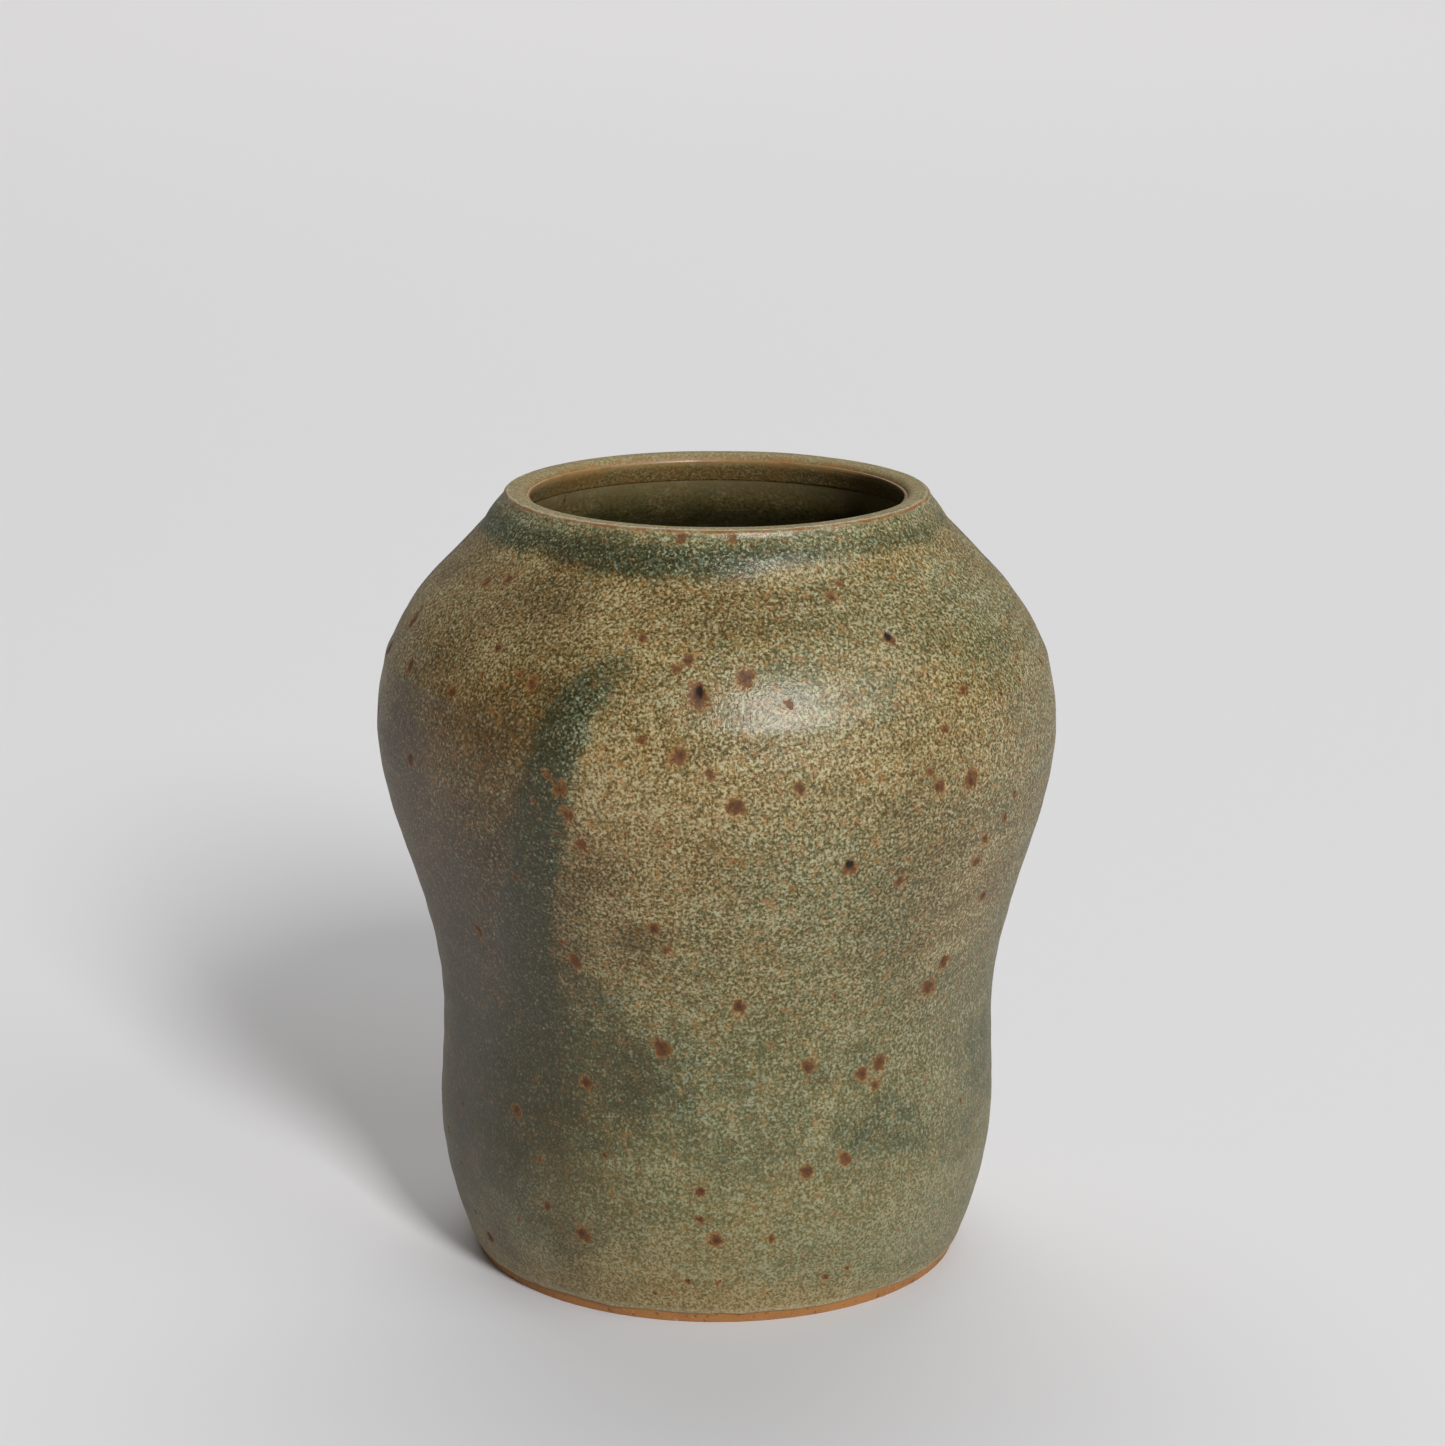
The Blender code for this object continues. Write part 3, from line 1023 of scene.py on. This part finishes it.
class BUDVASE_OT_thrown_body(bpy.types.Operator):
    """Throw the stoneware body with its bare foot and recess"""

    bl_idname = "bud_vase.thrown_body"
    bl_label = "Thrown Body"

    def execute(self, context):
        scene = context.scene
        outline = body_outline(scene.bud_vase_form)
        piece = throw("thrown_body", outline, CLAY_TURNS, closed=False)
        wall = Wall(piece)
        under = smooth(wall.height, 0.9, 0.2) * smooth(wall.radius, 32.4, 31.2)
        grooves = 0.5 + 0.5 * np.cos(wall.radius * 2.6 + 0.6 * np.sin(np.radians(wall.bearing)))
        is_base = (wall.height < RECESS_DEPTH / MM + 0.1) & (wall.radius < RECESS_RADIUS / MM - 0.5)
        push(piece, grooves * is_base * smooth(wall.radius, 1.0, 4.0), -BASE_GROOVES)
        paint(piece, "under", np.maximum(under, is_base))
        lean(piece, wall, scene.bud_vase_form)
        finish(piece, clay_material(scene.bud_vase_colours), "clay_body")
        return {"FINISHED"}


class BUDVASE_OT_outer_glaze(bpy.types.Operator):
    """Coat the outside with speckled glaze that runs green where it is thick"""

    bl_idname = "bud_vase.outer_glaze"
    bl_label = "Outer Glaze"

    def execute(self, context):
        scene = context.scene
        form = scene.bud_vase_form
        piece = throw("outer_glaze_coat", coat_outline(form), GLAZE_TURNS, closed=True)
        wall = Wall(piece)
        face = wall.is_outside & (wall.height > GLAZE_LINE / MM - 0.2)
        run = run_weight(wall)
        iron, pit = spot_weights(wall, list(IRON_SPOTS) + scattered_spots())
        bearing = np.radians(wall.bearing)

        swell = wall.grain(16.0, seed=2.0)
        rings = np.sin(wall.height * 1.25 + 0.5 * bearing + swell) * 0.35
        rings = rings + wall.grain(3.6, seed=12.0, stretch=0.5) * np.abs(wall.grain(30.0, seed=5.0))
        push(piece, (0.5 + 0.5 * rings) * face * smooth(wall.height, 103.4, 101.5), form.ring_depth)
        ridges = 0.0
        for height, half_width, prominence in THROWING_RIDGES:
            away = (wall.height - height + 0.4 * swell) / half_width
            ridges = ridges + prominence * np.exp(-(away**2))
        push(piece, ridges * face, form.ridge_height)
        push(piece, run * face, form.run_depth)
        edge_roll = smooth(wall.height, 3.6, 1.9) * (0.7 + 0.3 * wall.grain(6.0, seed=3.0))
        push(piece, edge_roll * face, EDGE_ROLL)
        edge_lift = smooth(wall.height, 2.6, 1.2) * (0.5 + 0.5 * wall.grain(5.0, seed=8.0))
        push(piece, edge_lift, EDGE_LIFT, "Z")
        push(piece, pit, -form.pit_depth)
        push(piece, smooth(iron, 0.3, 0.8), -IRON_SINK)
        lip_dips = smooth(wall.height, 100, 103) * (0.5 + 0.5 * wall.grain(14.0, seed=31.0))
        push(piece, lip_dips, -LIP_DIP, "Z")
        lean(piece, wall, form)

        # Millimetres down the outside from the lip's outer edge, and below zero inwards from it
        below = HEIGHT_MM - wall.height
        down_outside = below + (wall.radius - RIM_RADIUS) * (below < 0.9)
        into_mouth = -wall.inwards - np.maximum(below - 0.9, 0)
        past_lip = np.where(wall.inwards > LIP_FROM, into_mouth, down_outside)
        sage, warmth = tint_weights(wall)
        paint(piece, "past_lip", past_lip)
        paint(piece, "above_foot", wall.height)
        paint(piece, "run", run)
        paint(piece, "sage", sage)
        paint(piece, "dark", dark_grain_and_painted_shade_weight(wall))
        paint(piece, "warmth", warmth)
        paint(piece, "iron", iron)
        paint(piece, "pit", pit)
        finish(piece, outer_glaze_material(scene.bud_vase_colours), "outer_glaze")
        return {"FINISHED"}


class BUDVASE_OT_liner_glaze(bpy.types.Operator):
    """Line the inside with glaze"""

    bl_idname = "bud_vase.liner_glaze"
    bl_label = "Liner Glaze"

    def execute(self, context):
        scene = context.scene
        outline = liner_outline(scene.bud_vase_form)
        piece = throw("liner_glaze_coat", outline, LINER_TURNS, closed=False)
        wall = Wall(piece)
        depth = HEIGHT_MM - wall.height
        rings = np.sin(wall.height * 1.1 + np.radians(wall.bearing)) * smooth(wall.height, 12, 20)
        shown = (wall.inwards > LINER_FROM) * smooth(depth, 3, 8)
        push(piece, (0.5 + 0.5 * rings) * shown, LINER_RINGS)
        lean(piece, wall, scene.bud_vase_form)
        paint(piece, "depth", depth)
        finish(piece, liner_glaze_material(scene.bud_vase_colours), "liner_glaze")
        return {"FINISHED"}


class BUDVASE_OT_stage(bpy.types.Operator):
    """Pale floor, soft light and the camera"""

    bl_idname = "bud_vase.stage"
    bl_label = "Stage"

    def execute(self, context):
        scene = context.scene
        stage = scene.bud_vase_stage
        deselect_all()
        bpy.ops.mesh.primitive_circle_add(vertices=96, radius=FLOOR_RADIUS, fill_type="NGON")
        floor = context.object
        floor.name = "paper_floor"
        board = Board("seamless_paper")
        floor.data.materials.append(board.finish(tuple(stage.floor), 0.85, Specular_IOR_Level=0.2))

        world = bpy.data.worlds.new("surround")
        scene.world = world
        world.use_nodes = True
        background = world.node_tree.nodes["Background"]
        background.inputs["Color"].default_value = (*stage.sky, 1.0)
        background.inputs["Strength"].default_value = stage.sky_strength

        for *place, setting, tint in LIGHTS:
            add_light(*place, getattr(stage, setting), tint)

        bpy.ops.object.camera_add(location=(0.0, -stage.camera_distance, stage.camera_height))
        camera = context.object
        camera.name = "camera"
        camera.rotation_euler = (math.pi / 2 - stage.camera_tilt, CAMERA_ROLL, CAMERA_TURN)
        camera.data.lens = stage.lens
        camera.data.sensor_width = 36.0
        scene.camera = camera
        scene.view_settings.view_transform = "Standard"
        return {"FINISHED"}


def add_light(name, target, bearing, elevation, distance, size, watts, tint):
    """A soft rectangular light aimed at its target from a bearing and elevation in degrees."""
    turn = math.radians(bearing)
    rise = math.radians(elevation)
    way = Vector((math.sin(turn) * math.cos(rise), -math.cos(turn) * math.cos(rise), math.sin(rise)))
    bpy.ops.object.light_add(type="AREA", location=target + way * distance)
    light = bpy.context.object
    light.name = name
    light.rotation_euler = way.to_track_quat("Z", "Y").to_euler()
    light.data.shape = "RECTANGLE"
    light.data.size, light.data.size_y = size
    light.data.energy = watts
    light.data.color = tint


class BUDVASE_PT_panel(bpy.types.Panel):
    """Buttons for each piece of the vase, and its sizes and colours"""

    bl_idname = "BUDVASE_PT_panel"
    bl_label = "Bud Vase"
    bl_space_type = "VIEW_3D"
    bl_region_type = "UI"
    bl_category = "Bud Vase"

    def draw(self, context):
        scene = context.scene
        column = self.layout.column()
        for operator in OPERATORS:
            column.operator(operator.bl_idname)
        for group in (scene.bud_vase_form, scene.bud_vase_colours, scene.bud_vase_stage):
            column.separator()
            for name in group.__annotations__:
                column.prop(group, name)


OPERATORS = (
    BUDVASE_OT_thrown_body,
    BUDVASE_OT_outer_glaze,
    BUDVASE_OT_liner_glaze,
    BUDVASE_OT_stage,
)
GROUPS = {
    "bud_vase_form": VaseForm,
    "bud_vase_colours": GlazeColours,
    "bud_vase_stage": StageSettings,
}


def register():
    for group in GROUPS.values():
        bpy.utils.register_class(group)
    for name, group in GROUPS.items():
        setattr(bpy.types.Scene, name, bpy.props.PointerProperty(type=group))
    for operator in OPERATORS:
        bpy.utils.register_class(operator)
    bpy.utils.register_class(BUDVASE_PT_panel)


def unregister():
    bpy.utils.unregister_class(BUDVASE_PT_panel)
    for operator in reversed(OPERATORS):
        bpy.utils.unregister_class(operator)
    for name, group in GROUPS.items():
        delattr(bpy.types.Scene, name)
        bpy.utils.unregister_class(group)


def main():
    register()
    bpy.ops.bud_vase.thrown_body()
    bpy.ops.bud_vase.outer_glaze()
    bpy.ops.bud_vase.liner_glaze()
    bpy.ops.bud_vase.stage()


if __name__ == "__main__":
    main()
